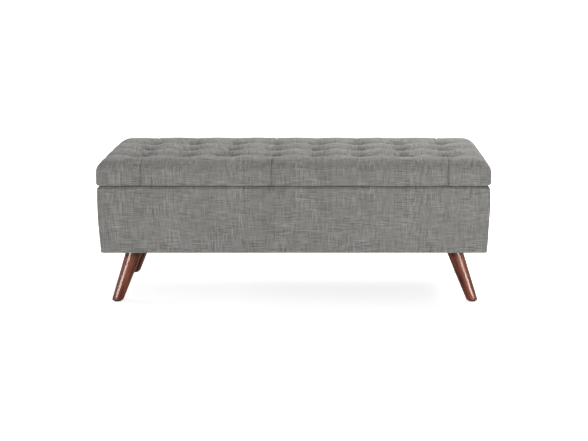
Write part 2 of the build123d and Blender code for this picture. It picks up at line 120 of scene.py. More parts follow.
# Sizes of the box
box_half = box_high[:2]
box_round = {
    "side_low": np.array([0.006, 0.006]), "side_high": np.array([0.006, 0.006]),
    "top": (0.0025, 0.0025), "bottom": 0.002,
}
rim_width = box_half[0] - cavity_high[0]
rim_drop = 0.0055
rim_drop_width = 0.0075
rim_blend = 0.030
box_hem = 0.0135
box_step = 0.012
box_rise_step = 0.006
face_bulge = 0.0016
end_bulge = 0.0045
cloth_wave = 0.0005
hem_groove = 0.0009
hem_groove_height = 0.012
hem_groove_width = 0.0022
block_side = block_high[0] - block_low[0]


# Building blocks for materials
class Paint:
    """A material being built: adds nodes and joins their sockets."""

    def __init__(self, name, **values):
        self.material = bpy.data.materials.new(name)
        self.material.use_nodes = True
        self.tree = self.material.node_tree
        self.shader = self.tree.nodes["Principled BSDF"]
        for socket, value in values.items():
            self.shader.inputs[socket.replace("_", " ")].default_value = value

    def give(self, socket, value):
        if isinstance(value, bpy.types.NodeSocket):
            self.tree.links.new(value, socket)
        else:
            socket.default_value = value

    def node(self, kind, inputs=(), **settings):
        made = self.tree.nodes.new("ShaderNode" + kind)
        for name, value in settings.items():
            setattr(made, name, value)
        for name, value in dict(inputs).items():
            self.give(made.inputs[name], value)
        return made

    def math(self, operation, *values):
        made = self.node("Math", enumerate(values), operation=operation)
        return made.outputs[0]

    def span(self, value, low, high, to_low=0.0, to_high=1.0):
        inputs = {"Value": value, "From Min": low, "From Max": high, "To Min": to_low, "To Max": to_high}
        return self.node("MapRange", inputs).outputs[0]

    def stretched(self, vector, scale):
        return self.node("Mapping", {"Vector": vector, "Scale": scale}).outputs[0]

    def noise(self, vector, scale=1.0, detail=2.0, rough=0.5):
        inputs = {"Vector": vector, "Scale": scale, "Detail": detail, "Roughness": rough}
        return self.node("TexNoise", inputs).outputs[0]

    def ramp(self, value, *stops):
        made = self.node("ValToRGB", {"Fac": value})
        places = made.color_ramp.elements
        while len(places) < len(stops):
            places.new(0.5)
        for place, (at, colour) in zip(places, stops):
            place.position = at
            place.color = (*colour, 1)
        return made.outputs[0]

    def bump(self, height, distance, strength=1.0, below=None):
        inputs = {"Height": height, "Distance": distance, "Strength": strength}
        if below is not None:
            inputs["Normal"] = below
        return self.node("Bump", inputs).outputs[0]

    def done(self, colour, rough, normal):
        self.give(self.shader.inputs["Base Color"], colour)
        self.give(self.shader.inputs["Roughness"], rough)
        self.give(self.shader.inputs["Normal"], normal)
        return self.material


def linear(red, green, blue):
    """A screen colour of 0 to 255 as the value that renders to it."""
    parts = [value / 255 for value in (red, green, blue)]
    return tuple(v / 12.92 if v <= 0.04045 else ((v + 0.055) / 1.055) ** 2.4 for v in parts)


def woven(name, dark, middle, light, thread):
    """A plain weave of slubbed yarn that follows the piece's net, with painted shade in the hollows between
    its yarns.
    """
    yarn_sway = 0.004
    single_pace, single_share = 34, 0.45
    slub_pace, slub_share = 22, 0.55
    cloud_share = 0.05
    tone_reach = 0.088
    slub_height = 0.0006
    p = Paint(name, Sheen_Weight=0.12, Sheen_Roughness=0.45, Specular_IOR_Level=0.18)
    cut = p.node("UVMap").outputs[0]
    drift = p.node("TexNoise", {"Vector": cut, "Scale": 26.0, "Detail": 2.0}).outputs[1]
    sway = p.node("VectorMath", {0: drift, 1: (0.5, 0.5, 0.5)}, operation="SUBTRACT").outputs[0]
    sway = p.node("VectorMath", {0: sway, "Scale": yarn_sway}, operation="SCALE").outputs[0]
    net = p.node("VectorMath", {0: cut, 1: sway}, operation="ADD").outputs[0]
    apart = p.node("SeparateXYZ", {0: net})
    ways = [apart.outputs[0], apart.outputs[1]]
    waves = [p.math("SINE", p.math("MULTIPLY", way, math.pi / thread)) for way in ways]
    over = p.span(p.math("MULTIPLY", *waves), -0.35, 0.35)
    rounds = [p.math("ABSOLUTE", wave) for wave in waves]
    lift = p.node("Mix", {0: over, 2: rounds[1], 3: rounds[0]}).outputs[0]

    def yarns(run, across, width, pace):
        """Tones of yarns that lie side by side, each changing along its own length."""
        row = p.math("FLOOR", p.math("DIVIDE", across, width))
        along = p.math("ADD", p.math("MULTIPLY", run, pace), p.math("MULTIPLY", row, 3.77))
        spot = p.node("CombineXYZ", {0: along, 1: p.math("MULTIPLY", row, 7.31)}).outputs[0]
        return p.noise(spot, detail=2)

    sets = []
    for run, across in (ways, ways[::-1]):
        single = p.math("MULTIPLY", yarns(run, across, thread, single_pace), single_share)
        slubs = p.math("MULTIPLY", yarns(run, across, thread * 2, slub_pace), slub_share)
        sets.append(p.math("ADD", single, slubs))
    share = p.span(p.noise(net, 14, detail=3, rough=0.6), 0.3, 0.7, 0.25, 0.75)
    yarn = p.node("Mix", {0: share, 2: sets[0], 3: sets[1]}).outputs[0]
    cloud = p.noise(net, 7, detail=2)
    calm = p.span(p.noise(net, 16, detail=2), 0.35, 0.65, 0.55, 1.25)
    swing = p.math("MULTIPLY", p.math("SUBTRACT", yarn, 0.5), calm)
    tone = p.math("ADD", swing, p.math("MULTIPLY", p.math("SUBTRACT", cloud, 0.5), cloud_share))
    shade = p.span(tone, -tone_reach, tone_reach)
    colour = p.ramp(shade, (0.0, dark), (0.5, middle), (1.0, light))
    # Painted shade: the yarn colour is darkened to as little as 0.8 where the weave lies low, between the
    # yarns.
    painted_hollow_shade = p.span(lift, 0.0, 0.55, 0.80, 1.0)
    shaded = p.node("Mix", {0: 1.0, 6: colour}, data_type="RGBA", blend_type="MULTIPLY")
    p.give(shaded.inputs[7], painted_hollow_shade)
    rough = p.span(lift, 0, 1, 0.96, 0.82)
    coarse = p.bump(yarn, slub_height, 0.3)
    normal = p.bump(lift, thread * 0.35, 0.7, coarse)
    return p.done(shaded.outputs[2], rough, normal)


def felted(name, dark, light):
    """Non-woven cloth of pressed fibres with a dimpled print."""
    print_depth = 0.0006
    fibre_height = 0.0006
    p = Paint(name, Specular_IOR_Level=0.25, Sheen_Weight=0.15)
    place = p.node("TexCoord").outputs["Object"]
    fibres = p.noise(p.stretched(place, (900, 260, 600)), detail=4, rough=0.65)
    cloud = p.noise(place, 30, detail=3)
    tone = p.math("ADD", p.math("MULTIPLY", fibres, 0.65), p.math("MULTIPLY", cloud, 0.35))
    dimples = p.node("TexVoronoi", {"Vector": place, "Scale": 420.0}).outputs["Distance"]
    colour = p.ramp(tone, (0.3, dark), (0.7, light))
    rough = p.span(tone, 0.3, 0.7, 0.95, 0.75)
    normal = p.bump(dimples, print_depth, 0.5, p.bump(fibres, fibre_height, 0.5))
    return p.done(colour, rough, normal)


def grained(name, dark, middle, light, along, coat=0.0, rough=(0.45, 0.6), depth=0.0004, gloss=0.25,
            own_places=False):
    """Wood whose grain runs along one axis of the piece, or of the places that the piece carries."""
    p = Paint(name, Coat_Weight=coat, Coat_Roughness=0.12, Specular_IOR_Level=gloss)
    place = p.node("TexCoord").outputs["Object"]
    if own_places:
        place = p.node("Attribute", attribute_name="grain").outputs["Vector"]
    scale = [55.0, 55.0, 55.0]
    scale[along] = 3.2
    fine = [420.0, 420.0, 420.0]
    fine[along] = 16.0
    bend = p.noise(p.stretched(place, tuple(scale)), detail=3, rough=0.55)
    pores = p.noise(p.stretched(place, tuple(fine)), detail=3, rough=0.65)
    rings = p.math("FRACT", p.math("MULTIPLY", bend, 5.0))
    figure = p.math("ADD", p.math("MULTIPLY", bend, 0.6), p.math("MULTIPLY", rings, 0.14))
    tone = p.math("ADD", figure, p.math("MULTIPLY", pores, 0.30))
    colour = p.ramp(tone, (0.36, dark), (0.53, middle), (0.72, light))
    shine = p.span(pores, 0.3, 0.7, rough[1], rough[0])
    return p.done(colour, shine, p.bump(pores, depth, 0.35))


def plated(name, dark, light, rough, metal=1.0):
    """Plated or coated metal with faint brushing and handling marks."""
    brush_depth = 0.0002
    p = Paint(name, Metallic=metal)
    place = p.node("TexCoord").outputs["Object"]
    lines = p.noise(p.stretched(place, (24, 500, 500)), detail=2)
    marks = p.noise(place, 60, detail=4, rough=0.6)
    tone = p.math("ADD", p.math("MULTIPLY", lines, 0.4), p.math("MULTIPLY", marks, 0.6))
    colour = p.ramp(tone, (0.32, dark), (0.68, light))
    shine = p.span(tone, 0.3, 0.7, rough[1], rough[0])
    return p.done(colour, shine, p.bump(lines, brush_depth, 0.25))


def moulded(name, dark, light, rough, grain=900.0, depth=0.0003):
    """Moulded plastic, rubber or foam with a fine surface grain."""
    p = Paint(name, Specular_IOR_Level=0.4)
    place = p.node("TexCoord").outputs["Object"]
    cells = p.noise(place, grain, detail=2)
    cloud = p.noise(place, 25, detail=3)
    tone = p.math("ADD", p.math("MULTIPLY", cells, 0.5), p.math("MULTIPLY", cloud, 0.5))
    colour = p.ramp(tone, (0.3, dark), (0.7, light))
    return p.done(colour, p.span(tone, 0.3, 0.7, rough[1], rough[0]), p.bump(cells, depth, 0.5))


linen = woven(
    "grey_linen", linear(104, 103, 99), linear(132, 131, 128), linear(158, 157, 154), thread=0.0009)
lining_cloth = felted("black_lining", linear(24, 24, 25), linear(44, 44, 45))
dust_cloth = felted("black_dust_cloth", linear(16, 16, 17), linear(34, 34, 34))
leg_wood = grained(
    "stained_wood", linear(42, 21, 16), linear(108, 58, 43), linear(147, 90, 66), 2,
    coat=0.10, rough=(0.4, 0.55), depth=0.00008, gloss=0.03, own_places=True)
plywood = grained("plywood", linear(160, 122, 80), linear(190, 152, 106), linear(210, 175, 130), 0)
softwood = grained("softwood", linear(176, 138, 90), linear(202, 166, 116), linear(220, 188, 142), 2)
zinc = plated("zinc_plate", linear(150, 152, 155), linear(196, 198, 200), (0.28, 0.45))
black_steel = plated("black_powder_coat", linear(16, 16, 16), linear(34, 34, 35), (0.45, 0.6), metal=0.0)
nylon = moulded("dark_nylon", linear(20, 19, 19), linear(38, 36, 35), (0.4, 0.55))
rubber = moulded("black_rubber", linear(16, 16, 16), linear(34, 34, 34), (0.7, 0.85))
foam = moulded("foam", linear(205, 194, 150), linear(228, 218, 180), (0.85, 0.95), grain=700, depth=0.0008)
twine = moulded("waxed_twine", linear(178, 168, 142), linear(214, 204, 180), (0.6, 0.8), grain=1400)


# Building blocks for meshes
def smooth(value, low, high):
    """A soft step from 0 at low to 1 at high."""
    t = np.clip((value - low) / (high - low), 0, 1)
    return t * t * (3 - 2 * t)


def spaced(low, high, step):
    """Evenly spaced values about a step apart."""
    return np.linspace(low, high, max(2, round((high - low) / step) + 1))


def through(marks, step):
    """Values about a step apart, with each of the marks among them."""
    return np.concatenate([spaced(a, b, step)[:-1] for a, b in zip(marks, marks[1:])] + [marks[-1:]])


def edged(half, rounding, step, stops, turns):
    """Grid lines across a face between two rounded edges, with lines at the stops."""
    edge = half - rounding + rounding * np.tan(np.linspace(0, math.pi / 4, turns + 1))
    marks = sorted({rounding - half, half - rounding, *stops})
    return np.concatenate([-edge[:0:-1], through(marks, step)[:-1], edge])


def upright_lines(low, high, bottom, top, step, turns=5):
    """Grid lines up a side between a rounded bottom edge and a rounded top edge."""
    rise = np.tan(np.linspace(0, math.pi / 4, turns + 1))
    flat = spaced(low + bottom, high - top, step)
    return np.concatenate([low + bottom - bottom * rise[:0:-1], flat, high - top + top * rise[1:]])


def box_net(lines, on_top, on_bottom):
    """A box of grid lines: its points, its faces and their flat net, without the cells left out."""
    index = {}
    points = []
    faces = []
    net = []
    last = [len(line) - 1 for line in lines]
    half_x, half_y = lines[0][-1], lines[1][-1]
    low, high = lines[2][0], lines[2][-1]

    def number(key):
        if key not in index:
            index[key] = len(points)
            points.append([line[at] for line, at in zip(lines, key)])
        return index[key]

    def add(keys, unfold):
        corners = [number(key) for key in keys]
        faces.append(corners)
        net.extend(unfold(*points[corner]) for corner in corners)

    def top(x, y, z):
        return x, y

    def front(x, y, z):
        return x, -half_y - (high - z)

    def back(x, y, z):
        return x, half_y + (high - z)

    def left(x, y, z):
        return -half_x - (high - z), y

    def right(x, y, z):
        return half_x + (high - z), y

    def under(x, y, z):
        if half_y - abs(y) < half_x - abs(x):
            return x, math.copysign(half_y + (high - low) + (half_y - abs(y)), y)
        return math.copysign(half_x + (high - low) + (half_x - abs(x)), x), y

    for i in range(last[0]):
        for j in range(last[1]):
            middle = [(lines[0][i] + lines[0][i + 1]) / 2, (lines[1][j] + lines[1][j + 1]) / 2]
            around = [(i, j), (i + 1, j), (i + 1, j + 1), (i, j + 1)]
            if on_top(*middle):
                add([(*at, last[2]) for at in around], top)
            if on_bottom(*middle):
                add([(*at, 0) for at in reversed(around)], under)
    for k in range(last[2]):
        for i in range(last[0]):
            add([(i, 0, k), (i + 1, 0, k), (i + 1, 0, k + 1), (i, 0, k + 1)], front)
            add([(i + 1, last[1], k), (i, last[1], k), (i, last[1], k + 1), (i + 1, last[1], k + 1)], back)
        for j in range(last[1]):
            add([(0, j + 1, k), (0, j, k), (0, j, k + 1), (0, j + 1, k + 1)], left)
            add([(last[0], j, k), (last[0], j + 1, k), (last[0], j + 1, k + 1), (last[0], j, k + 1)], right)
    return np.array(points), faces, np.array(net)


def rounded(points, half, low, high, form):
    """Points of a sharp box moved onto the same box with rounded edges."""
    share = smooth(points[:, 2:], low + form["bottom"], high - max(form["top"]))
    side = form["side_low"] * (1 - share) + form["side_high"] * share
    core = points.copy()
    core[:, :2] = np.clip(points[:, :2], side - half, half - side)
    past = np.abs(points - core)[:, :2] / side + 1e-9
    top = past @ np.array(form["top"]) / past.sum(axis=1)
    core[:, 2] = np.clip(points[:, 2], low + form["bottom"], high - top)
    reach = np.empty_like(points)
    reach[:, :2] = side
    reach[:, 2] = np.where(points[:, 2] > core[:, 2], top, form["bottom"])
    away = (points - core) / reach
    length = np.maximum(np.linalg.norm(away, axis=1, keepdims=True), 1e-9)
    return core + reach * away / length


def mesh_piece(name, points, faces, net, material):
    """A smooth-shaded mesh object; net gives each face corner its place on the cloth."""
    mesh = bpy.data.meshes.new(name)
    mesh.from_pydata([tuple(point) for point in points], [], faces)
    if net is not None:
        layer = mesh.uv_layers.new(name="net")
        layer.data.foreach_set("uv", np.asarray(net, dtype=np.float32).ravel())
    mesh.shade_smooth()
    mesh.set_sharp_from_angle(angle=math.radians(55))
    mesh.materials.append(material)
    piece = bpy.data.objects.new(name, mesh)
    scene.collection.objects.link(piece)
    return piece


def places(mesh):
    """The mesh's points as an array."""
    values = np.empty(len(mesh.vertices) * 3, dtype=np.float32)
    mesh.vertices.foreach_get("co", values)
    return values.reshape(-1, 3).astype(float)


def put(mesh, points):
    """Moves the mesh's points."""
    mesh.vertices.foreach_set("co", points.astype(np.float32).ravel())
    mesh.update()


def normals(mesh):
    """The mesh's point normals as an array."""
    values = np.empty(len(mesh.vertices) * 3, dtype=np.float32)
    mesh.vertices.foreach_get("normal", values)
    return values.reshape(-1, 3).astype(float)


def cloth_places(mesh):
    """Where each point of the mesh lies on the flat net."""
    corners = np.empty(len(mesh.loops), dtype=np.int32)
    mesh.loops.foreach_get("vertex_index", corners)
    values = np.empty(len(mesh.loops) * 2, dtype=np.float32)
    mesh.uv_layers[0].data.foreach_get("uv", values)
    flat = np.empty((len(mesh.vertices), 2))
    flat[corners] = values.reshape(-1, 2)
    return flat


def settle(piece):
    """Works the piece's modifiers into its mesh."""
    made = bpy.data.meshes.new_from_object(piece.evaluated_get(bpy.context.evaluated_depsgraph_get()))
    piece.modifiers.clear()
    old = piece.data
    piece.data = made
    bpy.data.meshes.remove(old)
    made.name = piece.name


def subdivide(piece):
    """One round of smooth subdivision."""
    step = piece.modifiers.new("finer", "SUBSURF")
    step.levels = 1
    step.render_levels = 1
    step.boundary_smooth = "PRESERVE_CORNERS"
    settle(piece)


def thicken(piece, thickness):
    """Gives a sheet its thickness, inwards."""
    step = piece.modifiers.new("thickness", "SOLIDIFY")
    step.thickness = thickness
    step.offset = -1
    settle(piece)


def inflate(piece, held, pressure, cap):
    """Lets air press the cloth out against its pulls, and keeps each point's move under the cap."""
    frames = 20
    before = places(piece.data)
    group = piece.vertex_groups.new(name="held")
    for number in np.flatnonzero(held > 0):
        group.add([int(number)], float(held[number]), "REPLACE")
    cloth = piece.modifiers.new("cloth", "CLOTH")
    values = cloth.settings
    values.quality = 5
    values.mass = 0.3
    values.tension_stiffness = 12
    values.compression_stiffness = 8
    values.shear_stiffness = 6
    values.bending_stiffness = 0.4
    values.use_pressure = True
    values.uniform_pressure_force = pressure
    values.vertex_group_mass = "held"
    values.effector_weights.gravity = 0
    cloth.point_cache.frame_start = 1
    cloth.point_cache.frame_end = frames
    for number in range(1, frames + 1):
        scene.frame_set(number)
    swollen = piece.evaluated_get(bpy.context.evaluated_depsgraph_get())
    move = places(swollen.data) - before
    piece.modifiers.remove(cloth)
    piece.vertex_groups.clear()
    scene.frame_set(1)
    size = np.maximum(np.linalg.norm(move, axis=1, keepdims=True), 1e-9)
    put(piece.data, before + move / size * cap * np.tanh(size / cap))


def toward_back(y):
    """0 along the front and the ends, rising to 1 along the back."""
    return smooth(y, 0.08, 0.18)


def ring_faces(rings, segments):
    """Faces between rings of points that follow each other, closed at both ends."""
    faces = []
    for ring in range(rings - 1):
        low, high = ring * segments, (ring + 1) * segments
        for k in range(segments):
            n = (k + 1) % segments
            faces.append([low + k, low + n, high + n, high + k])
    last = (rings - 1) * segments
    faces.append(list(range(segments))[::-1])
    faces.append(list(range(last, last + segments)))
    return faces


# Seat
seam_lines = [*tuft_x]
for x in seam_columns:
    seam_lines += [x + gap for gap in seam_grid]
crease_lines = [y + gap for y in tuft_y for gap in crease_grid]
seat_points, seat_faces, seat_net = box_net(
    [
        edged(seat_half[0], seat_round["side_high"][0], seat_step, seam_lines, turns=9),
        edged(seat_half[1], seat_round["side_high"][1], seat_step, crease_lines, turns=6),
        upright_lines(seat_low[2], seat_high[2], seat_curl[0, 1], seat_round["top"][1], seat_step),
    ],
    lambda x, y: True,
    lambda x, y: abs(x) > seat_half[0] - seat_hem or abs(y) > seat_half[1] - seat_hem,
)


def nearest(value, lines):
    """Signed distance to the nearest of the lines."""
    gaps = value[:, None] - np.asarray(lines)[None, :]
    return gaps[np.arange(len(value)), np.abs(gaps).argmin(axis=1)]


def tuft_sink(x, y):
    """How far the pulls sink the top of the seat."""
    edge_margin = 0.010
    across = nearest(x, tuft_x)
    along = nearest(y, tuft_y)
    crest_x = np.sin(np.minimum(np.abs(across) / column_pitch * 2, 1) * math.pi / 2)
    crest_y = np.sin(np.minimum(np.abs(along) / row_pitch * 2, 1) * math.pi / 2)
    valley = row_valley * (1 - crest_y) ** 1.4
    inside = 1 - smooth(np.abs(y), tuft_y[-1], seat_half[1] - edge_margin)
    fold = (column_fold + inner_fold * inside) * (1 - crest_x ** 1.5)
    far = np.maximum(np.hypot(across, along) - button_radius, 0)
    pull = tuft_pull * np.exp(-(far / tuft_pull_reach) ** 1.1)
    return valley + fold + pull


def by_hinges(x):
    """1 at the hinges, where the cloth leaves room for their knuckles, and 0 elsewhere."""
    clear, reach = 0.002, 0.009
    near = np.zeros(len(x))
    for leaf_low, leaf_high in hinge_leaves:
        span = smooth(x, leaf_low[0] - reach, leaf_low[0] - clear)
        near += span * (1 - smooth(x, leaf_high[0] + clear, leaf_high[0] + reach))
    return near


def curl_under(points):
    """Draws the seat's lower edge in, where the cloth is turned under the board, and lets its lip hang."""
    swell_from, swell_to = seat_low[2] + 0.008, seat_low[2] + 0.050
    lip_from, lip_to = seat_low[2] + 0.002, seat_low[2] + 0.030
    lip_wave = 0.0005
    lip_pinch = 0.0009
    pinch_width = 0.012
    side = seat_round["side_low"]
    core = np.clip(points[:, :2], side - seat_half, seat_half - side)
    out = (points[:, :2] - core) / side
    lean = np.abs(out) + 1e-9
    inset, rise = (lean @ seat_curl / lean.sum(axis=1, keepdims=True)).T
    t = np.clip((seat_low[2] + rise - points[:, 2]) / rise, 0, 1)
    x, y = points[:, 0], points[:, 1]
    at_back = toward_back(y)
    inset = inset * (1 - 0.8 * at_back)
    points[:, :2] -= out * (inset * (1 - np.sqrt(1 - t * t)))[:, None]
    near_edge = 1 - smooth(points[:, 2], swell_from, swell_to)
    points[:, 1] += seat_back_swell * np.clip(out[:, 1], 0, 1) * near_edge
    pinch = np.exp(-(nearest(x, seam_columns) / pinch_width) ** 2)
    hang = seat_lip + lip_wave * np.sin(x * 21 + 2 * np.sin(x * 9)) - lip_pinch * pinch
    hang += (seat_back_lip * (1 - by_hinges(x)) - hang) * at_back
    hang *= smooth(np.linalg.norm(out, axis=1), 0.50, 0.80)
    points[:, 2] -= hang * (1 - smooth(points[:, 2], lip_from, lip_to))


def shape_seat(points):
    """The seat's points on its rounded form, tufted."""
    tufts_from, tufts_to = seat_high[2] - 0.046, seat_high[2] - 0.004
    shaped = rounded(points, seat_half, seat_low[2], seat_high[2] - seat_top_drop, seat_round)
    curl_under(shaped)
    level = smooth(shaped[:, 2], tufts_from, tufts_to)
    crown = front_crown * (np.abs(shaped[:, 1]) / seat_half[1]) ** 4
    crown += end_crown * smooth(np.abs(shaped[:, 0]), tuft_x[-1] - 0.02, seat_half[0])
    shaped[:, 2] -= level * (tuft_sink(shaped[:, 0], shaped[:, 1]) + crown)
    return shaped


seat = mesh_piece("seat_upholstery", shape_seat(seat_points), seat_faces, seat_net, linen)
held_rise, held_fade = 0.050, 0.040
flat = cloth_places(seat.data)
button_gap = np.hypot(nearest(flat[:, 0], tuft_x), nearest(flat[:, 1], tuft_y))
held = np.where(button_gap < button_radius * 1.1, 1.0, 0.0)
side_pull = smooth(seat_low[2] + held_rise - places(seat.data)[:, 2], 0.0, held_fade)
held = np.maximum(held, side_pull)
inflate(seat, held, swell_pressure, swell_cap)
subdivide(seat)


def seat_details(piece):
    """Seams, pleats and pulled folds worked into the seat's cloth."""
    flat = cloth_places(piece.data)
    u, v = flat[:, 0], flat[:, 1]
    depth = np.zeros(len(u))
    side = np.abs(v) - seat_half[1]
    on_side = smooth(side, -0.060, -0.010)
    above_hem = 1 - smooth(side, seat_rise - 0.008, seat_rise - 0.001)
    for x in seam_columns:
        gap = np.abs(u - x)
        ridge = np.exp(-((gap - seam_ridge) / seam_ridge_width) ** 2)
        line = np.exp(-(gap / seam_width) ** 2) - 0.22 * ridge
        depth += seam_depth * line * on_side * above_hem
    for x in pleat_columns:
        line = np.exp(-((u - x) / pleat_width) ** 2)
        depth += pleat_depth * line * on_side * smooth(-side, -0.060, -0.020)
    for x in tuft_x:
        for y in tuft_y:
            dx, dy = u - x, v - y
            far = np.hypot(dx, dy)
            near = far < tuft_field
            turn = np.arctan2(dy[near], dx[near])
            folds = random.integers(5, 8)
            swing = random.uniform(0, 2 * math.pi)
            ripple = np.cos(folds * turn + swing + 14 * far[near])
            ring = np.exp(-((far[near] - ripple_ring) / ripple_width) ** 2)
            depth[near] += ripple_depth * ripple * ring
            for way in (0, math.pi):
                lean = random.uniform(-0.12, 0.12)
                reach = random.uniform(*crease_reach)
                run = dx[near] * math.cos(way) + dy[near] * math.sin(way)
                off = dy[near] - lean * dx[near]
                crease = np.exp(-(off / crease_width) ** 2)
                crease -= 0.30 * np.exp(-((np.abs(off) - crease_ridge) / crease_ridge_width) ** 2)
                crease *= smooth(run, *crease_start) * (1 - smooth(run, crease_fade, reach))
                depth[near] += crease_depth * crease
    put(piece.data, places(piece.data) - normals(piece.data) * depth[:, None])


seat_details(seat)
thicken(seat, fabric)
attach(seat, "lid")
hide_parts("seat_cover", "seat_foam")


# Buttons
def turned(profile, segments):
    """A turned form about the upright axis through the profile's radii and heights."""
    points = []
    angles = np.linspace(0, 2 * math.pi, segments, endpoint=False)
    for radius, height in profile:
        points.extend((radius * math.cos(a), radius * math.sin(a), height) for a in angles)
    faces = ring_faces(len(profile), segments)
    net = [points[corner][:2] for face in faces for corner in face]
    return points, faces, net


def joined_copies(form, spots):
    """Copies of a form at several spots, as one mesh."""
    points, faces, net = [], [], []
    for spot in spots:
        start = len(points)
        points.extend(np.array(form[0]) + np.array(spot))
        faces.extend([corner + start for corner in face] for face in form[1])
        net.extend(np.array(form[2]) + np.array(spot[:2]))
    return points, faces, net


button_segments = 28
button_foot = -0.009
button_waist = -0.0036
button_edge = -0.0002
button_crown = (button_high[2] - button_low[2]) * 0.66
dome = [(math.cos(t), math.sin(t)) for t in np.linspace(0, math.pi / 2 * 0.94, 7)]
button_profile = [(button_radius * 0.6, button_foot), (button_radius * 0.88, button_waist)]
button_profile += [(button_radius * c, button_edge + (button_crown - button_edge) * s) for c, s in dome]
button_spots = [(x, y, button_low[2]) for x in tuft_x for y in tuft_y]
button_form = turned(button_profile, button_segments)
buttons = mesh_piece("covered_buttons", *joined_copies(button_form, button_spots), linen)
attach(buttons, "lid")
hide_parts("tuft_buttons")

# Box cover
inner_half = box_half - rim_width


def on_rim(x, y):
    """Whether a cell of the box's top edge is covered: the rim and the tops of the corner blocks."""
    past = [abs(x) - inner_half[0], abs(y) - inner_half[1]]
    return max(past) > 0 or min(past) > -block_side


def rim_stops(half):
    """Grid lines along the rim's inner edge, the corner blocks and the hem."""
    return [way * (half - back) for way in (-1, 1) for back in (0, block_side, box_hem - rim_width)]


box_points, box_faces, box_net_places = box_net(
    [
        edged(box_half[0], box_round["side_low"][0], box_step, rim_stops(inner_half[0]), turns=3),
        edged(box_half[1], box_round["side_low"][1], box_step, rim_stops(inner_half[1]), turns=3),
        upright_lines(
            box_low[2], box_high[2], box_round["bottom"], box_round["top"][0], box_rise_step, turns=3),
    ],
    on_rim,
    lambda x, y: abs(x) > box_half[0] - box_hem or abs(y) > box_half[1] - box_hem,
)


def shape_box(points):
    """The box's points on its rounded form, the rim drawn down along the front and the ends."""
    shaped = rounded(points, box_half, box_low[2], box_high[2], box_round)
    inside = np.min(box_half - np.abs(shaped[:, :2]), axis=1)
    drop = rim_drop * (1 - smooth(inside, 0.0, rim_drop_width)) * (1 - toward_back(shaped[:, 1]))
    shaped[:, 2] -= drop * smooth(shaped[:, 2], box_high[2] - rim_blend, box_high[2])
    return shaped


box = mesh_piece("base_upholstery", shape_box(box_points), box_faces, box_net_places, linen)
subdivide(box)


def box_details(piece):
    """The box's padded faces, its hem line and the faint pull of the cloth."""
    points = places(piece.data)
    out = normals(piece.data)
    flat = cloth_places(piece.data)
    u, v = flat[:, 0], flat[:, 1]
    rise = np.clip((points[:, 2] - box_low[2]) / (box_high[2] - box_low[2]), 0, 1)
    upright = np.abs(out[:, 2]) < 0.5
    at_end = np.abs(out[:, 0]) > 0.7
    along_front = np.abs(out[:, 1]) > 0.7
    over = np.sin(rise * math.pi)
    across = np.where(along_front, points[:, 0] / box_half[0], points[:, 1] / box_half[1])
    ends = 1 - np.abs(np.clip(across, -1, 1)) ** 8
    bulge = face_bulge * over ** 0.6 * ends
    bulge += end_bulge * at_end * np.sin(rise ** 2 * math.pi) ** 0.5
    wave = cloth_wave * np.sin(u * 37 + 3 * np.sin(v * 21)) * over
    hem = hem_groove * np.exp(-((points[:, 2] - box_low[2] - hem_groove_height) / hem_groove_width) ** 2)
    put(piece.data, points + out * (upright * (bulge + wave - hem))[:, None])


box_details(box)
thicken(box, fabric)
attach(box, "base")
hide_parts("base_cover", "front_padding", "back_padding", "left_padding", "right_padding")

# Linings
lining = 0.0010
lining_step = 0.014
lining_slack = 0.0012
floor_slack = 0.0007
sheet_thickness = 0.0007
sheet_step = 0.012
lid_hem = 0.013
dust_hem = 0.0065
dust_sag = 0.0008
leaf_gap = 0.001
lining_half = cavity_high[:2] - lining
lining_low = cavity_low[2] + lining
lining_high = cavity_high[2]
lining_rise = lining_high - lining_low


def tub(lines, heights, kept):
    """An open tub over the kept cells of a grid, with walls up from the edge of its floor."""
    index = {}
    points = []
    faces = []
    edges = {}

    def number(i, j, k):
        if (i, j, k) not in index:
            index[i, j, k] = len(points)
            points.append((lines[0][i], lines[1][j], heights[k]))
        return index[i, j, k]

    for i in range(len(lines[0]) - 1):
        for j in range(len(lines[1]) - 1):
            if kept((lines[0][i] + lines[0][i + 1]) / 2, (lines[1][j] + lines[1][j + 1]) / 2):
                around = [(i, j), (i + 1, j), (i + 1, j + 1), (i, j + 1)]
                faces.append([number(*at, 0) for at in around])
                for edge in zip(around, around[1:] + around[:1]):
                    edges[edge] = True
    for a, b in edges:
        if (b, a) not in edges:
            for k in range(len(heights) - 1):
                faces.append([number(*b, k), number(*a, k), number(*a, k + 1), number(*b, k + 1)])
    return np.array(points), faces


def cloth_sheet(name, points, faces, material, thickness, node, body):
    """A thin sheet of lining, given its thickness and attached to the body that carries it, in place of its
    node.
    """
    piece = mesh_piece(name, points, faces, None, material)
    thicken(piece, thickness)
    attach(piece, body)
    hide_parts(node)


notch = lining_half - block_side
tub_lines = []
for way in (0, 1):
    tub_lines.append(through([-lining_half[way], -notch[way], notch[way], lining_half[way]], lining_step))
tub_points, tub_faces = tub(
    tub_lines, spaced(lining_low, lining_high, lining_step),
    lambda x, y: abs(x) < notch[0] or abs(y) < notch[1])


def slacken(points):
    """Lets the lining stand a little off the long walls and the floor."""
    x, y, z = points.T
    on_long_wall = np.abs(np.abs(y) - lining_half[1]) < 1e-6
    middle = np.sin(np.clip((z - lining_low) / lining_rise, 0, 1) * math.pi)
    wave = np.sin(x * 41 + 2 * np.sin(z * 33)) * np.sin(x * 13 + 1)
    points[:, 1] -= on_long_wall * np.sign(y) * lining_slack * (1 + wave) * middle
    inside = (np.abs(points[:, :2]) < lining_half - 0.01).all(axis=1)
    on_floor = (z < lining_low + 1e-6) & inside
    points[:, 2] += on_floor * floor_slack * (1 + np.sin(x * 29 + 3 * np.sin(y * 17)))


slacken(tub_points)
cloth_sheet(
    "box_lining_cloth", tub_points, tub_faces, lining_cloth, lining * 0.8, "box_lining", "base")


